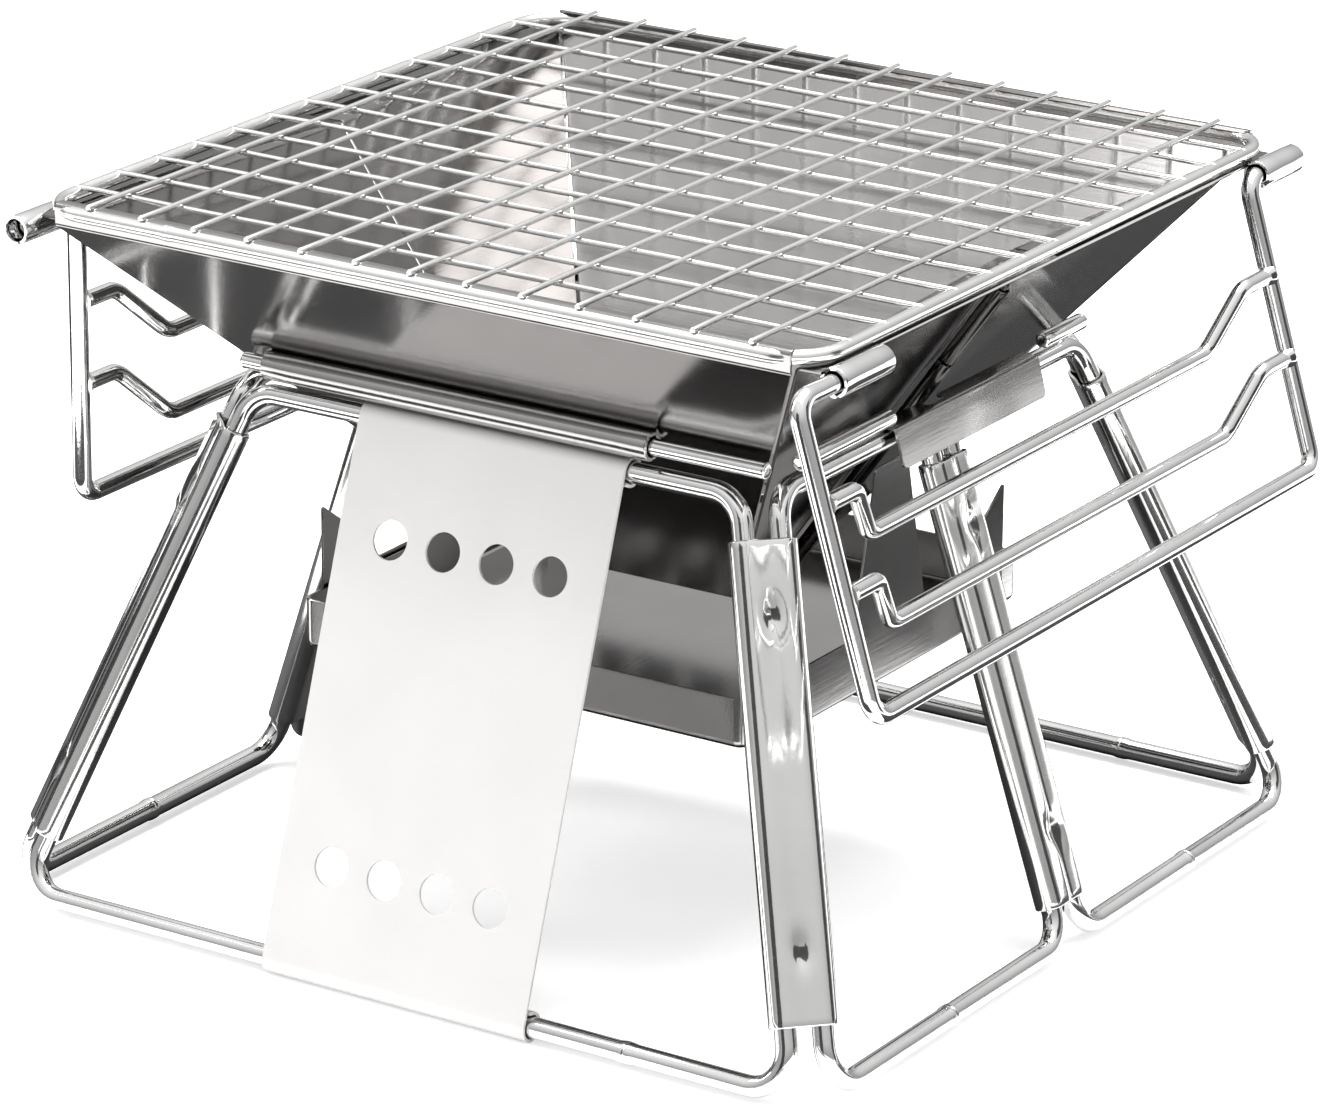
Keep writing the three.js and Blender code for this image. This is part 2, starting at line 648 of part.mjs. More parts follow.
// ---------- cooking net ----------
function addNet() {
  const corners = [
    vec(NET_HALF, -NET_HALF, NET_Z),
    vec(NET_HALF, NET_HALF, NET_Z),
    vec(-NET_HALF, NET_HALF, NET_Z),
    vec(-NET_HALF, -NET_HALF, NET_Z),
  ];
  const bends = corners.map(() => NET_BEND);
  const weldShare = 2.5 / NET_CELLS; // the weld sits between two wires
  const pieces = [wireLoop(corners, bends, NET_FRAME_WIRE / 2, weldShare)];
  const half = NET_WIRE / 2;
  const flat = half - 0.15; // the wires along x are a little lower
  const reach = NET_HALF + 0.3; // every wire ends inside the frame wire
  const pitch = (2 * NET_HALF) / NET_CELLS;
  for (let i = 1; i < NET_CELLS; i += 1) {
    const place = -NET_HALF + i * pitch;
    const [low, high] = [place - half, place + half];
    pieces.push(boxBetween([low, -reach, NET_Z - half], [high, reach, NET_Z + half]));
    pieces.push(boxBetween([-reach, low, NET_Z - flat], [reach, high, NET_Z + flat]));
  }
  add("cooking_net", join(...pieces), polishedSteel);
}

addStand();
addFrontPlate();
addBowl();
addGrate();
addTray();
addHangers();
addWing("right", SIDES.right, RIGHT_WING_LEAN);
addWing("left", SIDES.left, 0);
addNet();

// The plate's curl round the bottom bar is the lowest part, and stands on the ground.
grill.position.z = GAP + PLATE_SHEET;

export default grill;
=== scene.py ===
"""Looks of the folding camp grill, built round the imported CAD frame.

Shapes are in millimetres, with heights above the stand's sole, as in the CAD source;
add() turns them into the frame's metres. The floor, lights and cards are in metres.
+X runs right along the front, +Y back, +Z up.
"""
import json
import math
import random

import bmesh
import bpy
import numpy as np
from mathutils import Matrix, Vector


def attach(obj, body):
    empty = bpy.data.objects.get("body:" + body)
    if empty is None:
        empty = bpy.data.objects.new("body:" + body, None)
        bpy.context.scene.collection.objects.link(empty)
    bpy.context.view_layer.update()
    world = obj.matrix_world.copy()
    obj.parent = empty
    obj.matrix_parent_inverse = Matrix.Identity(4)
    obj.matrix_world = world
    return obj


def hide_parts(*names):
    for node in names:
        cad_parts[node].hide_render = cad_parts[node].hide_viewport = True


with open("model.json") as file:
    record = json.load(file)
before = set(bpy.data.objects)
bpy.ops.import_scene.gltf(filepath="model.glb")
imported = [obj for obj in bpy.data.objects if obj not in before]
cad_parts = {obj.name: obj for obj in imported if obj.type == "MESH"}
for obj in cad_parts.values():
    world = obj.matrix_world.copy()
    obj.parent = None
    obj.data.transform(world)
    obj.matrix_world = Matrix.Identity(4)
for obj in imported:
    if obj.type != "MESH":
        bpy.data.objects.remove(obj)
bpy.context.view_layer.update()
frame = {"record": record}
random.seed(7)

MM = 0.001
SOLE = 1.1  # the plate's curl lifts the stand this far off the ground
SHEET = 0.8  # usual sheet thickness
GAP = 0.3  # air between pieces that move on each other
SIDES = (("right", 1), ("left", -1))
ENDS = (("front", -1), ("back", 1))

# Stand: half widths and heights of the bars' middle lines, at the foot and at the top
BASE_HALF, TOP_HALF, TOP_Z, FOOT_Z = 112, 72, 122, 2.5
CORNER_SHIFT = 6  # from the corner of the stand to a leg's line
WIRE = 2.5  # radius
SPACING = CORNER_SHIFT * math.sqrt(2)  # between the two legs in a sleeve
LOOP_BENDS = [8, 9, 9, 8]  # radii at a loop's foot, top, top and foot
SLEEVE_START, SLEEVE_LENGTH = 10.3, 107.0
LOOSE_SHIFT, LOOSE_BORE = 1.4, 3.4  # the slot in the sleeve that the loop is opened at

# Front plate
PLATE_HALF, PLATE_X = 36, 2
PLATE_CURL = math.radians(300)
PLATE_HOLE_PITCH, PLATE_HOLE_ROWS, PLATE_HOLE_RADIUS = 14.5, (26.5, 102), 4.6

# Bowl: a wall's outer face lies at y = z - WALL_PLANE
RIM_Z, BOTTOM_Z, WALL_PLANE = 164.5, 72, 61.7
RIM_HALF_X, BOTTOM_HALF_X = 98.6, 27
CREASE_RIM_X, CREASE_BOTTOM_X = 92.9, 26.9
GUSSET_AIR = 0.5  # from a gusset to the middle of its side, and to its wall
REST_Y, REST_Z = 73.2, 129.4
SIDE_REST_X, SIDE_REST_Z = 75.6, 128.6
REST_ROD_RADIUS = 2.0
REST_TUBE_RADIUS, REST_TUBE_SHEET, REST_TUBE_LENGTH = 2.9, 1.1, 105
SOCKET_RADIUS, SOCKET_SHEET = 3.05, 0.85
PIN_RADIUS, PIN_OUT = 1.25, 2.8  # the crease pin, and how far outside the crease it lies
KNUCKLE_RADIUS, KNUCKLE_SHEET, KNUCKLES = 1.75, 0.5, 4

# Grate and tray
GRATE_HALF_X, GRATE_HALF_Y, GRATE_Z, GRATE_SHEET = 38, 28.6, 92.6, 1.2
TRAY_HALF, TRAY_FLOOR_Z, TRAY_HEIGHT = 61.2, 57.0, 12.0

# Wings
WING_X, WING_Z = 106, 162.5
WING_FRONT, WING_BACK, WING_DEPTH = -114, 85.5, 70
WING_PIN_FRONT, WING_PIN_BACK = -82, 104
WING_WIRE, WING_BEND = 2.25, 5 / 1.4 + 1.2
WING_BARS = (("upper", 23), ("lower", 43))
WING_LEAN = math.radians(17)
SOCKET_SPANS = {-1: (-99, -79), 1: (90, 108)}  # y of the right wing's front and back socket

# Net
NET_HALF, NET_Z, NET_CELLS = 103, 167.3, 14
NET_FRAME_WIRE, NET_WIRE, NET_CORNER = 1.7, 0.7, 12


# ---------- mesh tools ----------
def finish_mesh(mesh, smooth_angle):
    """Joins doubled points, turns the faces outwards and keeps edges over the angle sharp."""
    work = bmesh.new()
    work.from_mesh(mesh)
    bmesh.ops.remove_doubles(work, verts=work.verts, dist=2e-6)
    bmesh.ops.dissolve_degenerate(work, edges=work.edges, dist=1e-7)
    bmesh.ops.recalc_face_normals(work, faces=work.faces)
    for face in work.faces:
        face.smooth = True
    work.to_mesh(mesh)
    work.free()
    mesh.set_sharp_from_angle(angle=math.radians(smooth_angle))


class Parts:
    """Several closed shells gathered into one mesh."""

    def __init__(self):
        self.verts = []
        self.faces = []

    def add(self, verts, faces):
        start = len(self.verts)
        self.verts.extend([tuple(v) for v in verts])
        self.faces.extend([tuple(i + start for i in f) for f in faces])
        return self


def loft(rings, closed=False, capped=True):
    """Faces between rings that all have the same number of points."""
    count = len(rings[0])
    verts = [p for ring in rings for p in ring]
    faces = []
    last = len(rings) if closed else len(rings) - 1
    for i in range(last):
        a, b = i * count, ((i + 1) % len(rings)) * count
        for j in range(count):
            k = (j + 1) % count
            faces.append((a + j, a + k, b + k, b + j))
    if capped and not closed:
        faces.append(tuple(reversed(range(count))))
        faces.append(tuple(range((len(rings) - 1) * count, len(rings) * count)))
    return verts, faces


def unit(v):
    return v / np.linalg.norm(v)


def path_frames(points, closed=False):
    """The points, and two side directions at each, with no twist along the path."""
    points = np.array(points, float)
    n = len(points)
    steps = np.roll(points, -1, 0) - points
    tangents = []
    for i in range(n):
        before = steps[i - 1] if (i > 0 or closed) else steps[0]
        after = steps[i] if (i < n - 1 or closed) else steps[n - 2]
        tangents.append(unit(unit(before) + unit(after)))
    spare = np.array([0, 0, 1.0]) if abs(tangents[0][2]) < 0.9 else np.array([0, 1.0, 0])
    side = unit(np.cross(tangents[0], spare))
    frames = []
    for t in tangents:
        side = unit(side - t * side.dot(t))
        frames.append((side, np.cross(t, side)))
    return points, frames


def wire(points, radius, sides=18, closed=False, rounded=True, radii=None):
    """A round wire along a path; open ends are rounded off. radii scale the radius by point."""
    points, frames = path_frames(points, closed)
    scale = np.ones(len(points)) if radii is None else np.array(radii, float)
    rows = list(zip(points, frames, scale))
    if rounded and not closed:
        rows = dome(rows, radius, -1) + rows[1:-1] + dome(rows, radius, 1)
    angles = np.arange(sides) * 2 * math.pi / sides
    rings = []
    for p, (u, v), s in rows:
        rings.append([p + radius * s * (math.cos(a) * u + math.sin(a) * v) for a in angles])
    return loft(rings, closed)


def dome(rows, radius, end):
    """Stations that round a wire's end, inside its length."""
    p, f, s = rows[0] if end < 0 else rows[-1]
    q = rows[1][0] if end < 0 else rows[-2][0]
    inward = unit(q - p)
    share, tip = 0.35, 0.3  # of the radius: how far the rounding reaches, and the innermost ring
    edge = share * radius
    made = [(p + inward * edge * (1 - math.cos(a)), f, s * (1 - share * (1 - math.sin(a))))
            for a in np.radians([0, 30, 60, 90])]
    made.insert(0, (p, f, s * tip))
    return made if end < 0 else made[::-1]


def bend(before, corner, after, radius, steps=9):
    """Points round a bend of the given radius."""
    before, corner, after = (np.array(p, float) for p in (before, corner, after))
    a, b = unit(before - corner), unit(after - corner)
    half = math.acos(max(-1, min(1, a.dot(b)))) / 2
    start = corner + a * radius / math.tan(half)
    centre = corner + unit(a + b) * radius / math.sin(half)
    turn = math.pi - 2 * half
    arm = start - centre
    other = unit(-a - arm * (-a).dot(arm) / arm.dot(arm)) * radius
    return [centre + arm * math.cos(turn * i / steps) + other * math.sin(turn * i / steps)
            for i in range(steps + 1)]


def path(corners, radii, closed=False, steps=9):
    """A polyline through corners with round bends; radii is one number or one per corner."""
    n = len(corners)
    if not hasattr(radii, "__len__"):
        radii = [radii] * n
    points = []
    for i, corner in enumerate(corners):
        if not closed and i in (0, n - 1):
            points.append(np.array(corner, float))
        else:
            points += bend(corners[i - 1], corner, corners[(i + 1) % n], radii[i], steps)
    return points


def densify(points, longest):
    """Adds stations to an open path so that no step is longer than given."""
    out = []
    for a, b in zip(points, points[1:]):
        a, b = np.array(a), np.array(b)
        count = max(1, int(math.ceil(np.linalg.norm(b - a) / longest)))
        out += [a + (b - a) * k / count for k in range(count)]
    out.append(np.array(points[-1], float))
    return out


def strip_outline(line, thickness, edge):
    """The closed outline of a thin sheet seen edge-on, with round ends; edge scales its thickness."""
    cap_steps, cap_bulge = 4, 0.6
    line = np.array(line, float)
    n = len(line)
    normals = []
    for i in range(n):
        a = line[max(i - 1, 0)]
        b = line[min(i + 1, n - 1)]
        if 0 < i < n - 1:
            d = unit(unit(line[i] - a) + unit(b - line[i]))
        else:
            d = unit(b - a)
        normals.append(np.array([-d[1], d[0]]))
    h = thickness * edge / 2
    left = [line[i] + normals[i] * h for i in range(n)]
    right = [line[i] - normals[i] * h for i in range(n)]
    ends = []
    for p, out in ((line[-1], unit(line[-1] - line[-2])), (line[0], unit(line[0] - line[1]))):
        side = np.array([-out[1], out[0]])
        ends.append([p + out * h * cap_bulge * math.sin(a) + side * h * math.cos(a)
                     for a in np.linspace(0, math.pi, cap_steps + 2)[1:-1]])
    return left + ends[0] + right[::-1] + ends[1]


def sheet_sweep(line, thickness, length, step, dents=None):
    """A sheet section swept along z, its cut ends softened. dents(point) moves a point."""
    soft = [(0.0, 0.62), (0.12, 0.88), (0.3, 1.0)]  # distance from the end, share of the thickness
    middle = np.linspace(0, length, max(3, int(length / step)) + 1)[1:-1]
    stations = soft + [(z, 1.0) for z in middle]
    stations += [(length - z, e) for z, e in reversed(soft)]
    rings = []
    for z, edge in stations:
        ring = []
        for p in strip_outline(line, thickness, edge):
            q = np.array([p[0], p[1], z])
            ring.append(dents(q) if dents else q)
        rings.append(ring)
    return loft(rings)


def along(top, foot, towards):
    """Matrix whose local z runs from top to foot, with local x near the given direction; and top."""
    top, foot, towards = (np.array(p, float) for p in (top, foot, towards))
    z = unit(foot - top)
    y = unit(np.cross(z, towards))
    x = np.cross(y, z)
    return np.column_stack([x, y, z]), top


def placed(shell, basis, origin):
    verts, faces = shell
    return [basis @ np.array(v, float) + origin for v in verts], faces


def swept_along_y(shell, x, y, z):
    """A swept shell laid along y from the given point, its section in x and z."""
    verts, faces = shell
    return [np.array([x + v[0], y + v[2], z + v[1]]) for v in verts], faces


def arc2(centre, radius, start, end, steps):
    return [np.array([centre[0] + radius * math.cos(a), centre[1] + radius * math.sin(a)])
            for a in np.linspace(start, end, steps + 1)]


# ---------- folded sheet from a flat pattern ----------
def flat_blank(outline, holes, thickness, edge):
    """A flat sheet with rounded edges as a bmesh, centred on z = 0. Outline and holes in mm."""
    curve = bpy.data.curves.new("blank", "CURVE")
    curve.dimensions = "2D"
    curve.fill_mode = "BOTH"
    curve.extrude = thickness / 2 - edge
    curve.bevel_depth = edge
    curve.bevel_resolution = 1
    curve.offset = -edge
    for ring in [outline] + holes:
        spline = curve.splines.new("POLY")
        spline.points.add(len(ring) - 1)
        for point, (x, y) in zip(spline.points, ring):
            point.co = (x, y, 0, 1)
        spline.use_cyclic_u = True
    holder = bpy.data.objects.new("blank", curve)
    bpy.context.scene.collection.objects.link(holder)
    evaluated = holder.evaluated_get(bpy.context.evaluated_depsgraph_get())
    made = bpy.data.meshes.new_from_object(evaluated)
    bpy.data.objects.remove(holder)
    work = bmesh.new()
    work.from_mesh(made)
    bpy.data.meshes.remove(made)
    bmesh.ops.remove_doubles(work, verts=work.verts, dist=1e-4)
    return work


def folded(outline, holes, thickness, bends, basis, origin, edge=0.1):
    """Bends a flat blank about lines of constant y.

    bends: (y where it starts, angle, radius), each one leading away from y = 0."""
    facet = math.radians(11)  # the most that one step of a bend turns
    flat_step = 0.5  # a cut this far before a bend keeps the flat's shading flat
    work = flat_blank(outline, holes, thickness, edge)
    segments = bend_segments(bends)
    lines = []
    for start, stop, _, _, turn in segments:
        if turn:
            lines += list(np.linspace(start, stop, max(3, int(abs(turn) / facet)) + 1))
            lines += [start - flat_step if stop > start else start + flat_step]
    for y in lines:
        geometry = work.verts[:] + work.edges[:] + work.faces[:]
        bmesh.ops.bisect_plane(work, geom=geometry, dist=1e-5, plane_co=(0, y, 0), plane_no=(0, 1, 0))
    verts = []
    work.verts.ensure_lookup_table()
    for v in work.verts:
        position, normal = bend_at(segments, v.co.y)
        local = np.array([v.co.x, position[0] + normal[0] * v.co.z, position[1] + normal[1] * v.co.z])
        verts.append(basis @ local + origin)
    faces = [tuple(v.index for v in f.verts) for f in work.faces]
    work.free()
    return verts, faces


def forwards(heading):
    return np.array([math.cos(heading), math.sin(heading)])


def leftwards(heading):
    return np.array([-math.sin(heading), math.cos(heading)])


def arc_end(here, heading, turn, radius):
    """Where an arc ends that starts here along the heading and turns by the given angle."""
    centre = here + leftwards(heading) * np.sign(turn) * radius
    arm = here - centre
    c, s = math.cos(turn), math.sin(turn)
    return centre + np.array([c * arm[0] - s * arm[1], s * arm[0] + c * arm[1]])


def bend_segments(bends):
    """(start, stop, position at start, heading at start, turn) on both sides of y = 0."""
    endless = 1e6
    segments = []
    for sign in (1, -1):
        here, heading, y = np.zeros(2), 0.0 if sign > 0 else math.pi, 0.0
        for start, angle, radius in sorted((b for b in bends if b[0] * sign > 0), key=lambda b: b[0] * sign):
            segments.append((y, start, here.copy(), heading, 0.0))
            here = here + abs(start - y) * forwards(heading)
            turn = angle * sign
            stop = start + sign * radius * abs(angle)
            segments.append((start, stop, here.copy(), heading, turn))
            here = arc_end(here, heading, turn, radius)
            heading += turn
            y = stop
        segments.append((y, sign * endless, here.copy(), heading, 0.0))
    return segments


def bend_at(segments, y):
    """Position and normal, in the section, of the blank's point at y."""
    for start, stop, here, heading, turn in segments:
        if not min(start, stop) <= y <= max(start, stop):
            continue
        run = abs(y - start)
        if turn:
            part = turn * run / abs(stop - start)
            here = arc_end(here, heading, part, abs(stop - start) / abs(turn))
            heading = heading + part
        else:
            here = here + run * forwards(heading)
        return here, leftwards(heading) * (1 if stop > start else -1)
    raise ValueError(y)


def round_corners(points, radius, steps=5):
    """A polygon with its corners rounded; radius is one number or one per corner."""
    n = len(points)
    radii = radius if hasattr(radius, "__len__") else [radius] * n
    out = []
    for i in range(n):
        if radii[i] <= 0:
            out.append(tuple(points[i]))
            continue
        three = [(*points[(i + k) % n], 0.0) for k in (-1, 0, 1)]
        out += [(p[0], p[1]) for p in bend(*three, radii[i], steps)]
    return out


def rectangle(half_x, half_y):
    return [(-half_x, -half_y), (half_x, -half_y), (half_x, half_y), (-half_x, half_y)]


def circle(x, y, radius, sides=40):
    return [(x + radius * math.cos(a), y + radius * math.sin(a))
            for a in np.arange(sides) * 2 * math.pi / sides]


# ---------- materials ----------
def steel(name, colour, roughness, grain, grain_size, stretch, wave=0.0, spread=0.05, metal=1.0):
    """Stainless steel: fine drawn grain, uneven polish, soft waves, and painted shade that darkens the
    colour in crevices.

    stretch scales object space so that the grain runs along one axis. grain and wave are the
    strengths of the fine and the broad bump, and spread is how much the colour varies."""
    painted_shade_limit = 0.64  # how bright the painted shade leaves the colour in the deepest crevice
    polish = 0.28  # how much the roughness varies
    material = bpy.data.materials.new(name)
    material.use_nodes = True
    tree = material.node_tree
    tree.nodes.clear()
    link = tree.links.new

    def node(kind, **values):
        made = tree.nodes.new(kind)
        for key, value in values.items():
            if key in made.inputs:
                made.inputs[key].default_value = value
            else:
                setattr(made, key, value)
        return made

    def noise(vector, size, detail, roughness):
        made = node("ShaderNodeTexNoise", Scale=size, Detail=detail, Roughness=roughness)
        link(vector, made.inputs["Vector"])
        return made.outputs["Fac"]

    def remap(source, low, high, to_low, to_high):
        limits = {"From Min": low, "From Max": high, "To Min": to_low, "To Max": to_high}
        made = node("ShaderNodeMapRange", **limits)
        link(source, made.inputs["Value"])
        return made.outputs["Result"]

    out = node("ShaderNodeOutputMaterial")
    shader = node("ShaderNodeBsdfPrincipled", Metallic=metal)
    link(shader.outputs["BSDF"], out.inputs["Surface"])
    place = node("ShaderNodeTexCoord").outputs["Object"]
    mapping = node("ShaderNodeMapping", Scale=stretch)
    link(place, mapping.inputs["Vector"])
    fine = noise(mapping.outputs["Vector"], grain_size, 3.0, 0.6)
    cloud = noise(place, 38.0, 4.0, 0.55)
    broad = noise(place, 16.0, 1.0, 0.4)

    # Painted shade: ambient occlusion darkens the base colour in crevices and where parts meet.
    occlusion = node("ShaderNodeAmbientOcclusion", Distance=0.004)
    occlusion.samples = 6
    tone_and_painted_shade = node("ShaderNodeMath", operation="MULTIPLY")
    link(remap(cloud, 0.3, 0.7, 1 - spread, 1 + spread), tone_and_painted_shade.inputs[0])
    link(remap(occlusion.outputs["AO"], 0.2, 0.75, painted_shade_limit, 1), tone_and_painted_shade.inputs[1])
    tinted = node("ShaderNodeVectorMath", operation="SCALE")
    tinted.inputs[0].default_value = colour
    link(tone_and_painted_shade.outputs["Value"], tinted.inputs["Scale"])
    link(tinted.outputs["Vector"], shader.inputs["Base Color"])

    total = node("ShaderNodeMath", operation="ADD")
    link(fine, total.inputs[0])
    link(cloud, total.inputs[1])
    rough = remap(total.outputs["Value"], 0, 2, roughness * (1 - polish), roughness * (1 + polish))
    link(rough, shader.inputs["Roughness"])

    small = node("ShaderNodeBump", Strength=grain, Distance=0.00005)
    link(fine, small.inputs["Height"])
    large = node("ShaderNodeBump", Strength=wave, Distance=0.0006)
    link(broad, large.inputs["Height"])
    link(small.outputs["Normal"], large.inputs["Normal"])
    link(large.outputs["Normal"], shader.inputs["Normal"])
    return material


STEELS = {
    "wire": steel("polished_wire", (0.82, 0.82, 0.815), 0.09, 0.25, 900, (1, 1, 0.25), wave=0.02),
    "sleeve": steel("rolled_sleeve", (0.82, 0.82, 0.81), 0.11, 0.3, 700, (1, 1, 0.08), wave=0.12),
    "plate": steel("satin_plate", (0.68, 0.668, 0.66), 0.5, 0.5, 1500, (0.06, 1, 1), wave=0.04,
                   spread=0.02, metal=0.35),
    "bowl": steel("bowl_sheet", (0.38, 0.37, 0.365), 0.13, 0.25, 1200, (0.05, 1, 1), wave=0.10),
    # The gussets get a darker copy of the bowl's steel: painted shade.
    "gusset": steel("gusset_painted_shade_sheet", (0.26, 0.25, 0.245), 0.15, 0.25, 1200, (1, 0.05, 1), wave=0.12),
    # Painted shade: the crease pin's steel is near black to stand in for the dark it reflects.
    "strut": steel("painted_shade_strut", (0.07, 0.068, 0.066), 0.12, 0.2, 900, (1, 1, 0.2), wave=0.02),
    "tray": steel("tray_sheet", (0.42, 0.41, 0.405), 0.16, 0.3, 1100, (1, 0.06, 1), wave=0.12),
    "rim": steel("wing_wire", (0.82, 0.82, 0.815), 0.09, 0.25, 900, (1, 0.25, 1), wave=0.02),
    "net": steel("net_wire", (0.86, 0.86, 0.85), 0.22, 0.3, 1500, (1, 1, 1)),
}
BODY = {node: body for body, nodes in frame["record"]["behaviour"]["bodies"].items() for node in nodes}


def add(name, shell, body, look, replaced=None, smooth_angle=40):
    """Makes a piece from millimetre points and puts it on its body, for a CAD node if one is named."""
    verts, faces = (shell.verts, shell.faces) if isinstance(shell, Parts) else shell
    mesh = bpy.data.meshes.new(name + "_look")
    points = np.array(verts, float) * MM
    points[:, 2] += SOLE * MM
    mesh.from_pydata(points.tolist(), [], faces)
    finish_mesh(mesh, smooth_angle)
    piece = bpy.data.objects.new(name + "_look", mesh)
    bpy.context.scene.collection.objects.link(piece)
    mesh.materials.append(STEELS[look])
    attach(piece, body)
    if replaced:
        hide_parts(replaced)


# ---------- stand ----------
# A ground-down butt weld: distance from its middle along the wire, and the wire's scale there
WELD_BEAD = [(-2.2, 1.0), (-1.4, 1.05), (-0.7, 1.09), (-0.25, 1.1), (0, 1.05), (0.25, 1.1),
             (0.7, 1.09), (1.4, 1.05), (2.2, 1.0)]


def weld_loop(corners, radii, radius, share):
    """A closed wire loop with a butt weld a given share along its last side."""
    points = path(corners, radii, closed=True, steps=10)
    first, last = np.array(corners[0], float), np.array(corners[-1], float)
    seam = last * (1 - share) + first * share
    direction = unit(first - last)
    bead = [seam + direction * d for d, _ in WELD_BEAD]
    full = densify(points, 30) + bead
    scales = [1.0] * (len(full) - len(bead)) + [r for _, r in WELD_BEAD]
    return wire(full, radius, 24, closed=True, radii=scales)


def cross_frame(end):
    """The front or back frame."""
    top, foot = TOP_HALF - CORNER_SHIFT, BASE_HALF - CORNER_SHIFT
    corners = [(foot, end * BASE_HALF, FOOT_Z), (top, end * TOP_HALF, TOP_Z),
               (-top, end * TOP_HALF, TOP_Z), (-foot, end * BASE_HALF, FOOT_Z)]
    return weld_loop(corners, LOOP_BENDS, WIRE, 0.8)


def half_frame(side, end):
    """Half of a folding side."""
    near = end * SPACING / 2
    corners = [(side * BASE_HALF, near, FOOT_Z), (side * TOP_HALF, near, TOP_Z),
               (side * TOP_HALF, end * (TOP_HALF - CORNER_SHIFT), TOP_Z),
               (side * BASE_HALF, end * (BASE_HALF - CORNER_SHIFT), FOOT_Z)]
    return weld_loop(corners, LOOP_BENDS, WIRE, 0.5)


def sleeve_dents(q):
    """The pinches at two heights on both faces, and the shallow groove between the legs."""
    pinch_depth, pinch_width, pinch_height = 1.25, 1.5, 3.4
    groove_depth, groove_width = 0.16, 2.0
    pinch = 0
    for share in (0.155, 0.845):
        z = (q[2] - share * SLEEVE_LENGTH) / pinch_height
        pinch += math.exp(-z * z) * math.exp(-(q[0] / pinch_width) ** 2)
    groove = groove_depth * math.exp(-(q[0] / groove_width) ** 2)
    toward = -np.sign(q[1])
    return q + np.array([0, toward * (pinch_depth * pinch + groove), 0])


def sleeve(top, foot, towards, loose=False):
    """A strip rolled round both legs; its edges meet on one face. A loose one is wider at one leg."""
    basis, origin = along(top, foot, towards)
    half = SPACING / 2
    mid = WIRE + GAP + SHEET / 2
    out, radius = (LOOSE_SHIFT, LOOSE_BORE + SHEET / 2) if loose else (0.0, mid)
    wide = radius - mid  # how much higher the loose lobe stands than the close one
    seam = 0.35
    line = [np.array([seam, mid]), np.array([half, mid])]
    line += arc2((half, 0), mid, math.pi / 2, -math.pi / 2, 16)[1:]
    for x in (3, 2, 1.2, 0, -1.2, -2.5, -4):
        share = min(1, max(0, (1.2 - x) / 2.4))
        line.append(np.array([x, -mid - wide * share]))
    line += arc2((-half - out, 0), radius, -math.pi / 2, -3 * math.pi / 2, 16)
    line += [np.array([-1.6, radius]), np.array([-seam, mid + wide * 0.4])]
    shell = sheet_sweep(line, SHEET, SLEEVE_LENGTH, 1.7, sleeve_dents)
    verts, faces = placed(shell, basis, origin)
    shift = basis @ np.array([0, 0, SLEEVE_START])
    return [v + shift for v in verts], faces


for end_name, end in ENDS:
    node = end_name + "_frame"
    add(node, cross_frame(end), BODY[node], "wire", node)
    for side_name, side in SIDES:
        node = f"{side_name}_{end_name}_half_frame"
        add(node, half_frame(side, end), BODY[node], "wire", node)
        node = f"{end_name}_{side_name}_sleeve"
        top, foot = TOP_HALF - CORNER_SHIFT / 2, BASE_HALF - CORNER_SHIFT / 2
        shell = sleeve((side * top, end * top, TOP_Z), (side * foot, end * foot, FOOT_Z),
                       (-side, end, 0), loose=(node == "back_left_sleeve"))
        add(node, shell, BODY[node], "sleeve", node)
for side_name, side in SIDES:
    node = f"{side_name}_middle_sleeve"
    shell = sleeve((side * TOP_HALF, 0, TOP_Z), (side * BASE_HALF, 0, FOOT_Z), (0, side, 0))
    add(node, shell, BODY[node], "sleeve", node)


# ---------- front plate ----------
def front_plate():
    """A perforated sheet, curled round the top and bottom bar of the front frame."""
    middle = math.hypot(BASE_HALF - TOP_HALF, TOP_Z - FOOT_Z) / 2
    curl_radius = WIRE + GAP + SHEET / 2
    # Flat pattern: x across the plate, y up from its middle.
    reach = middle + curl_radius * PLATE_CURL
    holes = [circle(PLATE_HOLE_PITCH * k, middle - row, PLATE_HOLE_RADIUS)
             for row in PLATE_HOLE_ROWS for k in (-1.5, -0.5, 0.5, 1.5)]
    outline = round_corners(rectangle(PLATE_HALF, reach), 0.8)
    down = unit(np.array([0, TOP_HALF - BASE_HALF, FOOT_Z - TOP_Z], float))
    across = np.array([1.0, 0, 0])
    outward = np.cross(across, -down)
    basis = np.column_stack([across, -down, outward])
    origin = np.array([PLATE_X, -TOP_HALF, TOP_Z], float) + down * middle + outward * curl_radius
    bends = [(middle, -PLATE_CURL, curl_radius), (-middle, -PLATE_CURL, curl_radius)]
    return folded(outline, holes, SHEET, bends, basis, origin)


add("front_plate", front_plate(), "stand_front", "plate", "front_plate", smooth_angle=20)


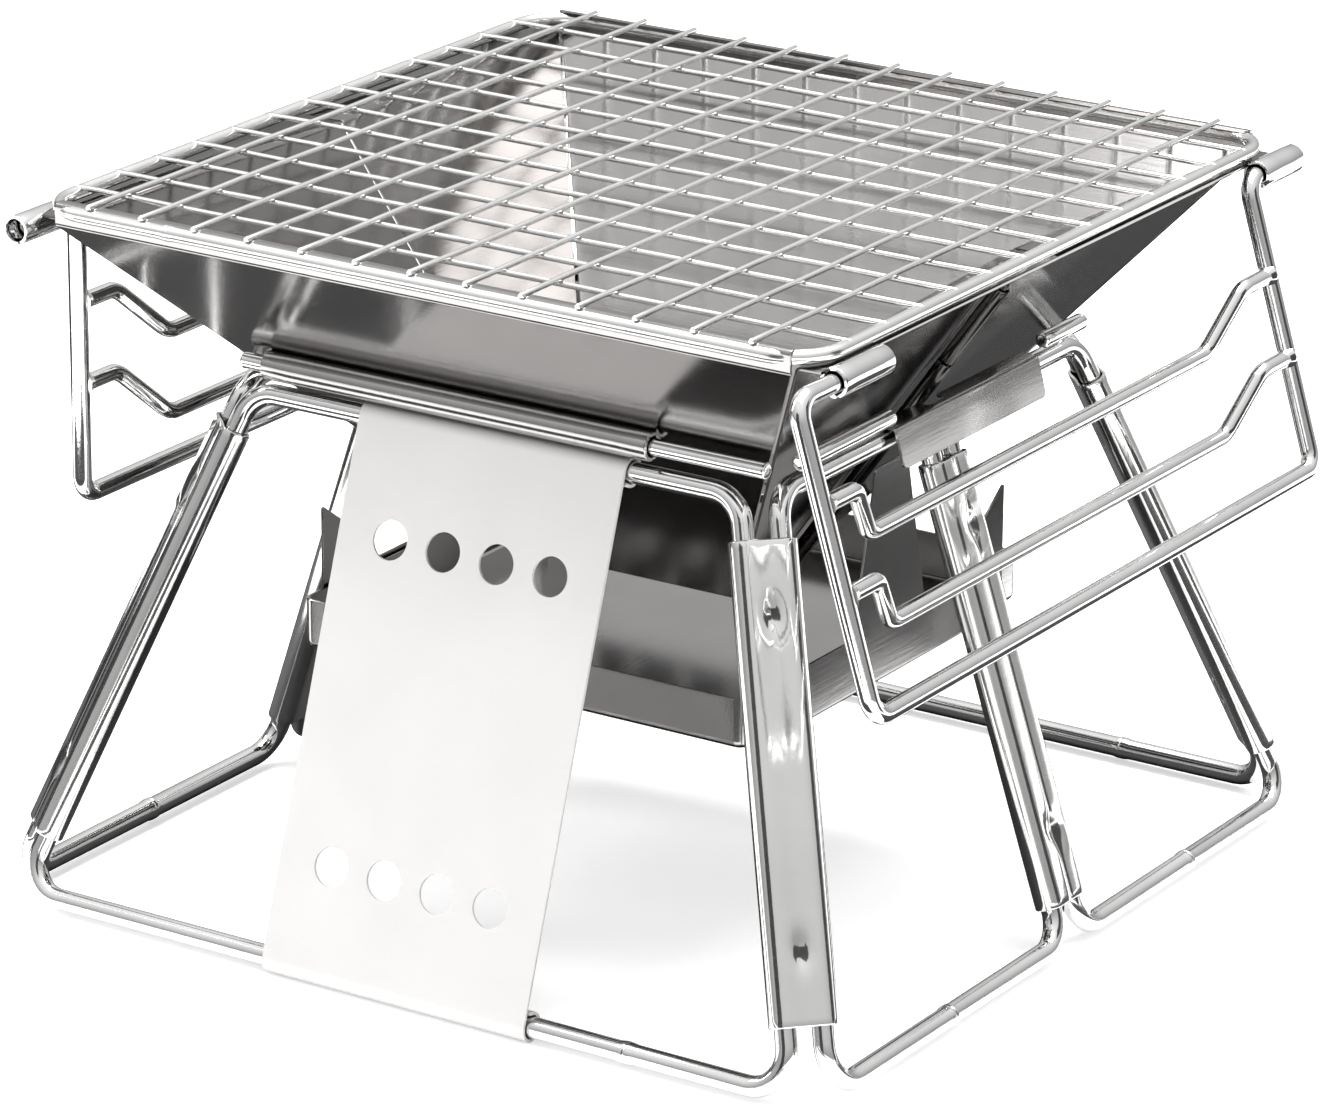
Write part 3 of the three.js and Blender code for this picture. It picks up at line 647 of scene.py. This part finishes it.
# ---------- bowl ----------
def wall(end):
    """Sloping wall, rim flange and down-turned lip, folded from one blank."""
    inset = 0.6  # the wall's ends stay this far inside the gussets' line
    bend_radius = 0.9
    flange, lip = 3.5, 1.4  # flat widths beyond the first and the second bend
    half = (RIM_Z - BOTTOM_Z) * math.sqrt(2) / 2
    rim_x, low_x = RIM_HALF_X - inset, BOTTOM_HALF_X - inset
    # Flat pattern: x along the rim, y up the slope from its middle.
    first = half - bend_radius * math.tan(math.radians(22.5))
    second = first + bend_radius * math.radians(45) + flange
    outer = second + bend_radius * math.radians(90) + lip
    outline = [(-low_x, -half), (low_x, -half), (rim_x, first), (rim_x, outer), (-rim_x, outer),
               (-rim_x, first)]
    outline = round_corners(outline, [1.5, 1.5, 0, 1.2, 1.2, 0])
    up = np.array([0, end * 1.0, 1.0]) / math.sqrt(2)
    rim_axis = np.array([-end * 1.0, 0, 0])
    inside = np.cross(rim_axis, up)  # points into the bowl
    mid_z = (RIM_Z + BOTTOM_Z) / 2
    basis = np.column_stack([rim_axis, up, inside])
    origin = np.array([0, end * (mid_z - WALL_PLANE), mid_z]) + inside * SHEET / 2
    bends = [(first, -math.radians(45), bend_radius), (second, -math.radians(90), bend_radius)]
    return folded(outline, [], SHEET, bends, basis, origin)


def gusset(side, end):
    """Half of a folding side: leaning panel and rim flange."""
    inner_face = WALL_PLANE + SHEET * math.sqrt(2) + GUSSET_AIR
    rim_y, low_y = RIM_Z - inner_face, BOTTOM_Z - inner_face
    a = np.array([side * CREASE_RIM_X, end * GUSSET_AIR, RIM_Z])
    b = np.array([side * RIM_HALF_X, end * rim_y, RIM_Z])
    c = np.array([side * BOTTOM_HALF_X, end * low_y, BOTTOM_Z])
    along_rim = unit(b - a)
    normal = unit(np.cross(b - a, c - a))
    if normal[0] * side > 0:
        normal = -normal  # into the bowl
    up = np.cross(normal, along_rim)
    if up[2] < 0:
        up = -up
    d = np.array([side * CREASE_BOTTOM_X, end * GUSSET_AIR, BOTTOM_Z])
    d = d - normal * normal.dot(d - a)
    middle = (a + b + c + d) / 4

    def flat(p):
        return along_rim.dot(p - middle), up.dot(p - middle)

    facing = np.cross(along_rim, up)
    basis = np.column_stack([along_rim, up, facing])
    inward = np.sign(facing.dot(normal))
    first = flat(a)[1] - 0.5
    tilt = math.acos(up[2])  # how far the panel leans from upright
    turn = math.pi / 2 - tilt
    # The flange's outer edge is straight along the rim; the flat pattern carries it over.
    flange_x = WING_X - 1.2
    edge_a = (flat(a)[0], first + (flange_x - abs(a[0])))
    edge_b = (flat(b)[0], first + (flange_x - abs(b[0])))
    ring = [flat(d), flat(c), flat(b), edge_b, edge_a, flat(a)]
    area = sum(p[0] * q[1] - q[0] * p[1] for p, q in zip(ring, ring[1:] + ring[:1]))
    if area < 0:
        ring = ring[::-1]
    origin = middle + normal * SHEET / 2
    return folded(ring, [], SHEET, [(first, -turn * inward, 0.9)], basis, origin)


def socket(side, span):
    """A tube rolled from sheet along the rim, with its seam underneath."""
    line = arc2((0, 0), SOCKET_RADIUS, math.radians(-60), math.radians(280), 26)
    tube = sheet_sweep(line, SOCKET_SHEET, span[1] - span[0], 5)
    return swept_along_y(tube, side * WING_X, span[0], WING_Z)


for end_name, end in ENDS:
    add(f"bowl_{end_name}_wall", wall(end), "bowl", "bowl", f"bowl_{end_name}_wall", smooth_angle=20)
    for side_name, side in SIDES:
        # The left side is the right side turned half round.
        span = tuple(sorted(side * y for y in SOCKET_SPANS[side * end]))
        node = f"{side_name}_{end_name}_gusset"
        add(node, gusset(side, end), "bowl", "gusset", node, smooth_angle=25)
        add(node + "_socket", socket(side, span), "bowl", "rim", smooth_angle=25)


def crease_pin(side):
    """The gussets' hinge: a pin in knuckles rolled from the sheet."""
    margin, air = 1.8, 0.6  # beyond the first knuckle, and between two knuckles
    parts = Parts()
    lean = math.atan2(CREASE_RIM_X - CREASE_BOTTOM_X, RIM_Z - BOTTOM_Z)
    out = np.array([side * math.cos(lean), 0, -math.sin(lean)]) * PIN_OUT
    ends = []
    for z in (RIM_Z - 6, BOTTOM_Z + 4):
        share = (z - BOTTOM_Z) / (RIM_Z - BOTTOM_Z)
        x = CREASE_BOTTOM_X + share * (CREASE_RIM_X - CREASE_BOTTOM_X)
        ends.append(np.array([side * x, 0, z]) + out)
    parts.add(*wire(densify(ends, 12), PIN_RADIUS, 16))
    basis, origin = along(ends[0], ends[1], (0, 1, 0))
    each = (np.linalg.norm(ends[1] - ends[0]) - 3) / KNUCKLES
    line = arc2((0, 0), KNUCKLE_RADIUS, math.radians(100), math.radians(430), 18)
    for k in range(KNUCKLES):
        mirror = 1 if k % 2 else -1
        section = [np.array([p[0] * mirror, p[1]]) for p in line]
        shell = sheet_sweep(section, KNUCKLE_SHEET, each - air, 4)
        verts, faces = placed(shell, basis, origin)
        shift = basis @ np.array([0, 0, margin + k * each])
        parts.add([v + shift for v in verts], faces)
    return parts


def rest_rod(start, stop):
    return wire(densify([np.array(start, float), np.array(stop, float)], 15), REST_ROD_RADIUS, 18)


def rest_tube(end):
    """A tube rolled round the front or back rest rod."""
    line = arc2((0, 0), REST_TUBE_RADIUS, math.radians(-75), math.radians(265), 30)
    verts, faces = sheet_sweep(line, REST_TUBE_SHEET, REST_TUBE_LENGTH, 8)
    start = -61 if end < 0 else -44
    return [np.array([start + v[2], end * REST_Y + v[0], REST_Z + v[1]]) for v in verts], faces


def saddle(side):
    """An angled sheet over the side bar, with a notch for the crease pin."""
    low = TOP_Z + WIRE + GAP
    inner, outer = TOP_HALF - 1.2, TOP_HALF + WIRE + 2 * GAP + SHEET
    drop, notch_half, bend_radius = 9.5, 4, 0.8
    lean = math.atan2(drop * 0.27, drop)
    turn = math.pi / 2 - lean
    setback = bend_radius * math.tan(turn / 2)
    # Flat pattern: x along the bar, y across; y = 0 on the top face.
    half = (outer - inner) / 2
    first = half - setback - 0.2
    reach = first + bend_radius * turn + drop / math.cos(lean) - setback - 0.4
    a, b = (-22, 42) if side > 0 else (-42, 22)
    notch = -half + 2.8
    ring = [(a, -half), (-notch_half, -half), (-notch_half, notch), (notch_half, notch),
            (notch_half, -half), (b, -half), (b, reach), (a, reach)]
    ring = round_corners(ring, [0.6, 0.6, 0.8, 0.8, 0.6, 0.6, 1.6, 1.6])
    basis = np.column_stack([(0, 1, 0), (side, 0, 0), (0, 0, -side)]).astype(float)
    origin = np.array([side * (inner + outer) / 2, 0, low + SHEET / 2])
    return folded(ring, [], SHEET, [(first, turn * side, bend_radius)], basis, origin)


def hanger(side):
    """Sheet beside the tray: lip under it, pointed ears and a tongue up to the bowl."""
    thick, bend_radius, half = 0.6, 0.6, 52
    low, top = TRAY_FLOOR_Z - GAP - thick, TRAY_FLOOR_Z + TRAY_HEIGHT
    zero = low + 8
    turn = math.pi / 2
    # Flat pattern: x along the tray, y up from 8 mm above the hanger's low end.
    first = -(zero - low - thick / 2) + bend_radius
    lip = first - bend_radius * turn - 4.2
    ears = [(half, top + 20 - zero), (41, top + 12 - zero), (46, top + 1 - zero),
            (16, top + 1 - zero), (7, top + 40 - zero)]
    ring = [(-half, lip), (half, lip), (half, first)] + ears
    ring += [(-x, y) for x, y in ears[::-1]] + [(-half, first)]
    ring = round_corners(ring, [1, 1, 0, 0.5, 0.5, 1, 2, 1.5, 1.5, 2, 1, 0.5, 0.5, 0])
    basis = np.column_stack([(0, side, 0), (0, 0, 1), (side, 0, 0)]).astype(float)
    origin = np.array([side * (TRAY_HALF + GAP + thick / 2), 0, zero])
    return folded(ring, [], thick, [(first, -turn, bend_radius)], basis, origin, edge=0.08)


for end_name, end in ENDS:
    a, b = (-68, 74) if end < 0 else (-74, 68)
    node = f"{end_name}_rest_rod"
    add(node, rest_rod((a, end * REST_Y, REST_Z), (b, end * REST_Y, REST_Z)), "bowl", "rim", node)
    node = f"{end_name}_rest_tube"
    add(node, rest_tube(end), "bowl", "tray", node, smooth_angle=25)
for side_name, side in SIDES:
    for place, span in ((-1, (-63, -24)), (1, (44, 63))):
        end_name = "front" if place * side < 0 else "back"
        node = f"{side_name}_{end_name}_rest_rod"
        a, b = sorted(side * y for y in span)
        rod = rest_rod((side * SIDE_REST_X, a, SIDE_REST_Z), (side * SIDE_REST_X, b, SIDE_REST_Z))
        add(node, rod, "bowl", "rim", node)
    add(f"{side_name}_crease_pin", crease_pin(side), "bowl", "strut", f"{side_name}_crease_pin")
    add(f"{side_name}_saddle", saddle(side), "bowl", "tray", f"{side_name}_saddle", smooth_angle=20)
    node = f"{side_name}_tray_hanger"
    add(node, hanger(side), "bowl", "tray", node, smooth_angle=20)


# ---------- charcoal grate ----------
def grate():
    """A flat plate with large holes in rows and small ones between them."""
    pitch_x, pitch_y = 2 * GRATE_HALF_X / 5.4, 2 * GRATE_HALF_Y / 3.4
    holes = [circle(c * pitch_x, r * pitch_y, 3.2, 24) for c in range(-2, 3) for r in (-1, 0, 1)]
    holes += [circle((c + 0.5) * pitch_x, (r + 0.5) * pitch_y, 1.8, 18)
              for c in range(-2, 2) for r in (-1, 0)]
    outline = round_corners(rectangle(GRATE_HALF_X, GRATE_HALF_Y), 3)
    return folded(outline, holes, GRATE_SHEET, [], np.eye(3), np.array([0, 0, GRATE_Z]))


add("charcoal_grate", grate(), "grate", "tray", "charcoal_grate", smooth_angle=20)


# ---------- ash tray ----------
def tray_ring(half, z, corner):
    """A square with round corners at one height."""
    steps = 8
    ring = []
    for cx, cy, start in ((1, 1, 0), (-1, 1, 90), (-1, -1, 180), (1, -1, 270)):
        for k in range(steps + 1):
            angle = math.radians(start + 90 * k / steps)
            ring.append(np.array([cx * (half - corner) + corner * math.cos(angle),
                                  cy * (half - corner) + corner * math.sin(angle), z]))
    return ring


def tray_shell():
    """A drawn tray: round corners, a rolled-over rim and a soft radius at the floor."""
    half, floor, top, thick = TRAY_HALF, TRAY_FLOOR_Z, TRAY_FLOOR_Z + TRAY_HEIGHT, SHEET
    corner, soft = 3.0, 1.6
    small = soft - thick * 0.9  # the floor's inner radius
    arc = [math.radians(90 * k / 5) for k in range(1, 6)]
    # From the rim's inner edge over to the outside and down, then under the floor. Two rings
    # close to the bends hold the outer face's shading flat.
    outer = [tray_ring(half - thick, top - 0.1, corner - thick),
             tray_ring(half - thick * 0.8, top, corner - thick * 0.8),
             tray_ring(half - thick * 0.2, top, corner - thick * 0.2),
             tray_ring(half, top - 0.15, corner),
             tray_ring(half, top - 0.5, corner),
             tray_ring(half, floor + soft + 0.4, corner),
             tray_ring(half, floor + soft, corner)]
    for a in arc:
        inset = soft * (1 - math.cos(a))
        outer.append(tray_ring(half - inset, floor + soft * (1 - math.sin(a)), corner - inset * 0.9))
    inner = [tray_ring(half - thick, floor + soft, corner - thick)]
    for a in arc:
        inset = small * (1 - math.cos(a))
        inner.append(tray_ring(half - thick - inset, floor + thick + small * (1 - math.sin(a)),
                               corner - thick - inset * 0.5))
    count = len(outer[0])
    verts, faces = loft(outer, capped=False)
    start = len(verts)
    faces.append(tuple(range(start - count, start)))
    inner_verts, inner_faces = loft(inner, capped=False)
    verts = verts + inner_verts
    faces += [tuple(i + start for i in f) for f in inner_faces]
    for j in range(count):
        k = (j + 1) % count
        faces.append((j, k, start + k, start + j))
    faces.append(tuple(range(len(verts) - count, len(verts))))
    return verts, faces


add("ash_tray", tray_shell(), "tray", "tray", "ash_tray", smooth_angle=35)


# ---------- wings ----------
def wing_place(side, lean):
    """A wing is drawn in the plane x = 0, hanging from the origin, and leans outwards."""
    turn = Matrix.Rotation(0 if side > 0 else math.pi, 3, "Z") @ Matrix.Rotation(-lean, 3, "Y")
    return np.array(turn), np.array([side * WING_X, 0, WING_Z], float)


def wing_bar(depth):
    """A cranked bar between the arms."""
    low, inward, clear = depth + 12, -7, 11
    first, last = WING_FRONT + 1.6, WING_BACK - 1.6
    corners = [(0, first, -depth), (0, first + clear + 1, -depth),
               (inward, first + 2 * clear + 1, -low), (inward, last - 2 * clear - 1, -low),
               (0, last - clear - 1, -depth), (0, last, -depth)]
    return wire(densify(path(corners, 5, steps=7), 25), 2.0, 20, rounded=False)


def weld_blob(y, depth, direction):
    """The fillet of a resistance weld where a bar meets an arm."""
    start = 0.9  # from the arm's middle line, so that the fillet begins inside its wire
    # Distance from the start, and radius there
    stations = [(0.0, 2.9), (0.5, 2.75), (1.1, 2.4), (1.8, 2.12), (2.4, 1.98)]
    points = [np.array([0, y + direction * (start + d), -depth]) for d, _ in stations]
    return wire(points, 1.0, 18, rounded=False, radii=[r for _, r in stations])


def wing(side_name, side, lean):
    """A wing's frame and its two bars."""
    basis, origin = wing_place(side, lean)
    body = side_name + "_wing"
    corners = [(0, WING_PIN_FRONT, 0), (0, WING_FRONT, 0), (0, WING_FRONT, -WING_DEPTH),
               (0, WING_BACK, -WING_DEPTH), (0, WING_BACK, 0), (0, WING_PIN_BACK, 0)]
    frame_wire = wire(densify(path(corners, WING_BEND), 30), WING_WIRE, 24)
    node = side_name + "_wing_frame"
    add(node, placed(frame_wire, basis, origin), body, "rim", node)
    for bar, depth in WING_BARS:
        parts = Parts().add(*placed(wing_bar(depth), basis, origin))
        for y, direction in ((WING_FRONT, 1), (WING_BACK, -1)):
            parts.add(*placed(weld_blob(y, depth, direction), basis, origin))
        node = f"{side_name}_wing_{bar}_bar"
        add(node, parts, body, "rim", node)


wing("right", 1, WING_LEAN)
wing("left", -1, 0.0)


# ---------- cooking net ----------
def net_wire(place, along_x):
    """One welded wire: those along x lie lower, those along y cross over them."""
    reach = NET_HALF + 0.9
    height = NET_Z + (1.15 if along_x else 2.35)
    bow = random.uniform(-0.25, 0.25)
    points = []
    for s in np.linspace(-reach, reach, NET_CELLS * 2 + 1):
        drift = bow * math.cos(0.5 * math.pi * s / reach)
        level = height + 0.08 * math.sin(0.11 * s + place)
        points.append((s, place + drift, level) if along_x else (place + drift, s, level))
    return wire(points, NET_WIRE, 10)


def cooking_net():
    """The net's frame and its wires."""
    net = Parts()
    corners = [(NET_HALF, -NET_HALF, NET_Z), (NET_HALF, NET_HALF, NET_Z),
               (-NET_HALF, NET_HALF, NET_Z), (-NET_HALF, -NET_HALF, NET_Z)]
    net.add(*weld_loop(corners, [NET_CORNER] * 4, NET_FRAME_WIRE, 2.5 / NET_CELLS))
    pitch = 2 * NET_HALF / NET_CELLS
    for i in range(1, NET_CELLS):
        place = -NET_HALF + i * pitch
        net.add(*net_wire(place, True))
        net.add(*net_wire(place, False))
    return net


add("cooking_net", cooking_net(), "net", "net", "cooking_net", smooth_angle=60)


# ---------- stage ----------
def stage_sheet(name, corners, shade, roughness):
    """A flat rectangle that belongs to the studio; gives the object and its shader."""
    material = bpy.data.materials.new(name)
    material.use_nodes = True
    shader = material.node_tree.nodes["Principled BSDF"]
    shader.inputs["Base Color"].default_value = (shade, shade, shade, 1)
    shader.inputs["Roughness"].default_value = roughness
    mesh = bpy.data.meshes.new(name)
    mesh.from_pydata(corners, [], [(0, 1, 2, 3)])
    mesh.materials.append(material)
    sheet = bpy.data.objects.new(name, mesh)
    bpy.context.scene.collection.objects.link(sheet)
    return sheet, shader


def card(name, position, width, height, shade, turn=0, lie=0):
    """A dark card near the grill that only its polished metal sees."""
    corners = [(x, 0, z) for x, z in rectangle(width / 2, height / 2)]
    sheet, _ = stage_sheet(name, corners, shade, 0.8)
    sheet.location = position
    sheet.rotation_euler = (math.radians(lie), 0, math.radians(turn))
    sheet.visible_camera = False
    sheet.visible_diffuse = False
    sheet.visible_shadow = False


def area_light(name, position, width, height, watts):
    """A soft rectangular light aimed at the middle of the grill."""
    data = bpy.data.lights.new(name, "AREA")
    data.shape = "RECTANGLE"
    data.size, data.size_y = width, height
    data.energy = watts
    lamp = bpy.data.objects.new(name, data)
    lamp.location = position
    lamp.rotation_euler = (Vector((0, 0, 0.08)) - Vector(position)).to_track_quat("-Z", "Y").to_euler()
    bpy.context.scene.collection.objects.link(lamp)


def studio_world():
    """A pale surround, darker towards and below the horizon."""
    world = bpy.data.worlds.new("studio")
    bpy.context.scene.world = world
    world.use_nodes = True
    nodes, link = world.node_tree.nodes, world.node_tree.links.new
    coords = nodes.new("ShaderNodeTexCoord")
    split = nodes.new("ShaderNodeSeparateXYZ")
    ramp = nodes.new("ShaderNodeValToRGB")
    link(coords.outputs["Generated"], split.inputs["Vector"])
    link(split.outputs["Z"], ramp.inputs["Fac"])
    link(ramp.outputs["Color"], nodes["Background"].inputs["Color"])
    for stop, position, shade in zip(ramp.color_ramp.elements, (0.05, 0.8), (0.36, 1.0)):
        stop.position = position
        stop.color = (shade, shade, shade, 1)
    nodes["Background"].inputs["Strength"].default_value = 1.0


# Wide enough, in metres, that its edge stays out of the picture when the bowl is lifted away.
FLOOR_HALF = 20
floor_corners = [(x, y, 0) for x, y in rectangle(FLOOR_HALF, FLOOR_HALF)]
floor, floor_shader = stage_sheet("floor", floor_corners, 0.92, 0.9)
floor_shader.inputs["Emission Color"].default_value = (1, 1, 1, 1)
floor_shader.inputs["Emission Strength"].default_value = 0.46  # keeps the shadows pale

area_light("top_light", (0.0, 0.2, 1.7), width=1.5, height=1.5, watts=60)
area_light("left_light", (-1.5, -0.5, 1.0), width=0.35, height=1.2, watts=14)

# Three cards stand round the grill, and three lie just above the floor.
BLACK, GREY, FLAT_Z = 0.012, 0.03, 0.0006
card("left_card", (-0.45, -0.1, 0.2), 0.34, 0.4, BLACK, turn=90)
card("front_card", (0.10, -0.5, 0.2), 0.22, 0.4, BLACK)
card("right_card", (0.5, 0.12, 0.2), 0.22, 0.4, BLACK, turn=90)
card("under_card", (-0.25, 0.275, FLAT_Z), 0.70, 0.75, GREY, lie=-90)
card("fore_card", (-0.08, -0.27, FLAT_Z), 0.55, 0.18, BLACK, lie=-90)
card("side_card", (0.26, 0.13, FLAT_Z), 0.24, 0.40, BLACK, lie=-90)

studio_world()
bpy.context.scene.view_settings.view_transform = "Standard"

# ---------- camera ----------
# A long lens a little above the grill, aimed at its middle from the front right.
AZIMUTH, ELEVATION, ROLL = math.radians(32.82), math.radians(19.60), math.radians(0.4)
DISTANCE = 1.5395  # metres
LENS, SENSOR = 177.41, 36

target = Vector((0.86, -1.87, 74.28 + SOLE)) * MM
direction = Vector((math.sin(AZIMUTH) * math.cos(ELEVATION), -math.cos(AZIMUTH) * math.cos(ELEVATION),
                    math.sin(ELEVATION)))
camera_data = bpy.data.cameras.new("camera")
camera_data.sensor_width = SENSOR
camera_data.lens = LENS
camera_data.clip_start = 0.05
camera = bpy.data.objects.new("camera", camera_data)
camera.location = target + direction * DISTANCE
aim = (-direction).to_track_quat("-Z", "Y").to_matrix() @ Matrix.Rotation(ROLL, 3, "Z")
camera.rotation_euler = aim.to_euler()
bpy.context.scene.collection.objects.link(camera)
bpy.context.scene.camera = camera
